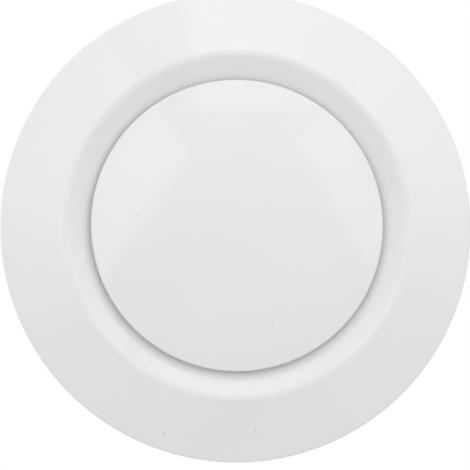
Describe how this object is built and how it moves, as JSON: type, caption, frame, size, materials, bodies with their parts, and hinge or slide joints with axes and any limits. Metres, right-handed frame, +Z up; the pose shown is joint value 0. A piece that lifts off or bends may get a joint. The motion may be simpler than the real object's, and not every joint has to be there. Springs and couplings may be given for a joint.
{
  "type": "circular ceiling air outlet",
  "caption": "Round ceiling disc valve for a duct: conical flange, funnel and collar with sprung fixing, and a domed disc that screws in and out to set the air flow.",
  "frame": {"origin": "on the duct's axis at the ceiling's underside, which is the back face of the foam gasket", "axes": "+Z up into the duct along its axis, -Z down into the room; the arms of the hub lie along X and Y"},
  "size_m": [0.15, 0.15, 0.0581],
  "materials": {
    "white_plastic": "smooth white moulding with a soft gloss",
    "grey_foam": "closed-cell foam",
    "black_rubber": "matt",
    "spring_steel": "rolled strip",
    "zinc_plated_steel": "bright zinc plating",
    "rivet_aluminium": "satin",
    "grey_plastic": "moulded, matt"
  },
  "bodies": {
    "housing": {"flange_housing": "white_plastic", "foam_gasket": "grey_foam", "duct_lip_seal": "black_rubber", "retaining_spring_1": "spring_steel", "retaining_spring_2": "spring_steel", "retaining_spring_3": "spring_steel", "retaining_spring_4": "spring_steel", "spring_rivet_1": "rivet_aluminium", "spring_rivet_2": "rivet_aluminium", "spring_rivet_3": "rivet_aluminium", "spring_rivet_4": "rivet_aluminium", "hub_nut": "zinc_plated_steel"},
    "disc_slide": {"spindle_washer": "zinc_plated_steel"},
    "disc": {"valve_disc": "white_plastic", "spindle": "zinc_plated_steel", "jam_nut": "zinc_plated_steel", "stop_nut": "zinc_plated_steel"},
    "lock_slide": {"lock_washer": "zinc_plated_steel"},
    "lock": {"lock_nut": "grey_plastic"}
  },
  "joints": [
    {"name": "disc_travel", "type": "slide", "parent": "housing", "child": "disc_slide", "axis": [0, 0, 1], "range_m": [-0.012, 0.001]},
    {"name": "disc_turn", "type": "hinge", "parent": "disc_slide", "child": "disc", "pos_m": [0, 0, 0], "axis": [0, 0, 1], "range_deg": [-4320, 360]},
    {"name": "lock_travel", "type": "slide", "parent": "disc", "child": "lock_slide", "axis": [0, 0, 1], "range_m": [-0.0045, 0.0007]},
    {"name": "lock_turn", "type": "hinge", "parent": "lock_slide", "child": "lock", "pos_m": [0, 0, 0], "axis": [0, 0, 1], "range_deg": [-1620, 252]}
  ],
  "couplings": [
    {"joint": "disc_turn", "follows": "disc_travel", "rad_per_m": 6283.2},
    {"joint": "lock_turn", "follows": "lock_travel", "rad_per_m": 6283.2}
  ]
}
